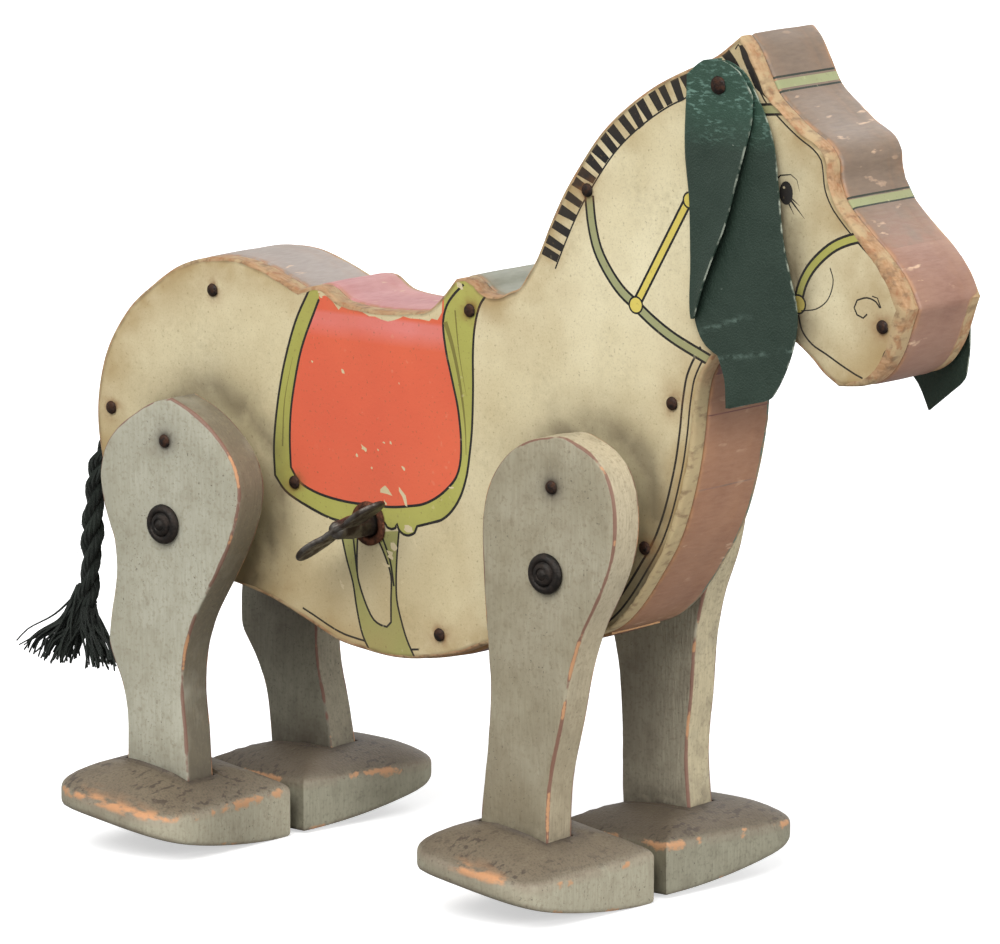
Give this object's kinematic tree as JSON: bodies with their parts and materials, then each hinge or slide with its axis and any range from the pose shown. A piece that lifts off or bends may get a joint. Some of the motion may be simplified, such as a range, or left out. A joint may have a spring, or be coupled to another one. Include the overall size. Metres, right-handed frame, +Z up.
{
  "type": "wind-up mule toy",
  "caption": "Flat-sided wooden walking mule with printed paper faces, pegged legs on broad rocking feet, oilcloth ears, rope tail and winding key.",
  "frame": {"origin": "on the floor under the middle of the body, which is also the middle of the feet across the toy", "axes": "+X towards the mule's nose, +Y towards its left side, +Z up"},
  "size_m": [0.2755, 0.1027, 0.2076],
  "materials": {
    "printed_paper": "cream printed paper glued on board, aged",
    "covered_wood": "plain coloured paper glued on sawn wood, worn",
    "painted_wood": "matt grey-green paint, worn to bare wood at the edges",
    "oilcloth": "dark green coated cloth, creased",
    "rope": "dyed laid rope, frayed",
    "nails": "rusted round-headed nails",
    "push_nuts": "darkened pressed steel caps",
    "key": "tarnished steel",
    "eyelet": "tarnished copper-coloured eyelet",
    "steel": "plain steel",
    "brass": "stamped brass"
  },
  "bodies": {
    "mule_body": {"right_side_board": "printed_paper", "left_side_board": "printed_paper", "head_neck_block": "covered_wood", "rump_block": "covered_wood", "seat_rail": "covered_wood", "belly_rail": "covered_wood", "right_croup_nail": "nails", "left_croup_nail": "nails", "right_rump_nail": "nails", "right_withers_nail": "nails", "right_belly_nail": "nails", "right_breast_nail": "nails", "left_breast_nail": "nails", "right_chest_nail": "nails", "right_neck_nail": "nails", "right_nose_nail": "nails", "motor_nail": "nails", "right_ear_nail": "nails", "left_ear_nail": "nails", "right_motor_plate": "steel", "left_motor_plate": "steel", "mainspring": "steel", "key_eyelet": "eyelet", "tail_rope": "rope", "tail_brush": "rope"},
    "rear_axle": {"rear_axle": "steel", "drive_pinion": "brass", "right_rear_crank": "steel", "right_rear_push_nut": "push_nuts", "left_rear_crank": "steel", "left_rear_push_nut": "push_nuts"},
    "front_axle": {"front_axle": "steel", "right_front_crank": "steel", "right_front_push_nut": "push_nuts", "left_front_crank": "steel", "left_front_push_nut": "push_nuts"},
    "second_wheel": {"second_arbor": "steel", "second_wheel": "brass"},
    "third_wheel": {"third_arbor": "steel", "third_wheel": "brass"},
    "great_wheel": {"great_wheel": "brass", "ratchet_click": "steel"},
    "winding_key": {"winding_arbor": "steel", "ratchet_wheel": "steel", "wing_key": "key"},
    "coupling_rod": {"coupling_rod": "steel"},
    "right_front_leg": {"right_front_leg": "painted_wood", "right_front_foot": "painted_wood", "right_front_guide_nail": "nails"},
    "right_rear_leg": {"right_rear_leg": "painted_wood", "right_rear_foot": "painted_wood", "right_rear_guide_nail": "nails"},
    "left_front_leg": {"left_front_leg": "painted_wood", "left_front_foot": "painted_wood", "left_front_guide_nail": "nails"},
    "left_rear_leg": {"left_rear_leg": "painted_wood", "left_rear_foot": "painted_wood", "left_rear_guide_nail": "nails"},
    "right_ear": {"right_ear": "oilcloth"},
    "left_ear": {"left_ear": "oilcloth"}
  },
  "joints": [
    {"name": "rear_axle_turn", "type": "hinge", "parent": "mule_body", "child": "rear_axle", "pos_m": [-0.08845, 0, 0.0789], "axis": [0, 1, 0], "continuous": true},
    {"name": "front_axle_turn", "type": "hinge", "parent": "mule_body", "child": "front_axle", "pos_m": [0.02875, 0, 0.0807], "axis": [0, 1, 0], "continuous": true},
    {"name": "third_wheel_turn", "type": "hinge", "parent": "mule_body", "child": "third_wheel", "pos_m": [-0.07873, 0, 0.09032], "axis": [0, 1, 0], "continuous": true},
    {"name": "second_wheel_turn", "type": "hinge", "parent": "mule_body", "child": "second_wheel", "pos_m": [-0.06, 0, 0.0833], "axis": [0, 1, 0], "continuous": true},
    {"name": "great_wheel_turn", "type": "hinge", "parent": "mule_body", "child": "great_wheel", "pos_m": [-0.035, 0, 0.0833], "axis": [0, 1, 0], "continuous": true},
    {"name": "coupling_rod_pivot", "type": "hinge", "parent": "rear_axle", "child": "coupling_rod", "pos_m": [-0.08845, 0.0065, 0.0839], "axis": [0, 1, 0], "continuous": true},
    {"name": "right_front_leg_pivot", "type": "hinge", "parent": "front_axle", "child": "right_front_leg", "pos_m": [0.03165, -0.025, 0.08148], "axis": [0, 1, 0], "continuous": true},
    {"name": "right_rear_leg_pivot", "type": "hinge", "parent": "rear_axle", "child": "right_rear_leg", "pos_m": [-0.08555, -0.025, 0.07968], "axis": [0, 1, 0], "continuous": true},
    {"name": "left_front_leg_pivot", "type": "hinge", "parent": "front_axle", "child": "left_front_leg", "pos_m": [0.02585, 0.025, 0.07992], "axis": [0, 1, 0], "continuous": true},
    {"name": "left_rear_leg_pivot", "type": "hinge", "parent": "rear_axle", "child": "left_rear_leg", "pos_m": [-0.09135, 0.025, 0.07812], "axis": [0, 1, 0], "continuous": true},
    {"name": "winding_key_turn", "type": "hinge", "parent": "mule_body", "child": "winding_key", "pos_m": [-0.035, 0, 0.0833], "axis": [0, 1, 0], "continuous": true},
    {"name": "right_ear_swing", "type": "hinge", "parent": "mule_body", "child": "right_ear", "pos_m": [0.07056, -0.0163, 0.19642], "axis": [0, -1, 0], "range_deg": [-30, 45]},
    {"name": "left_ear_swing", "type": "hinge", "parent": "mule_body", "child": "left_ear", "pos_m": [0.07461, 0.0163, 0.18836], "axis": [0, -1, 0], "range_deg": [-54, 21]}
  ],
  "couplings": [
    {"joint": "front_axle_turn", "follows": "rear_axle_turn", "ratio": 1},
    {"joint": "third_wheel_turn", "follows": "rear_axle_turn", "ratio": -0.5},
    {"joint": "second_wheel_turn", "follows": "rear_axle_turn", "ratio": 0.125},
    {"joint": "great_wheel_turn", "follows": "rear_axle_turn", "ratio": -0.03125},
    {"joint": "coupling_rod_pivot", "follows": "rear_axle_turn", "ratio": -1},
    {"joint": "right_front_leg_pivot", "follows": "rear_axle_turn", "ratio": -1},
    {"joint": "right_rear_leg_pivot", "follows": "rear_axle_turn", "ratio": -1},
    {"joint": "left_front_leg_pivot", "follows": "rear_axle_turn", "ratio": -1},
    {"joint": "left_rear_leg_pivot", "follows": "rear_axle_turn", "ratio": -1}
  ]
}
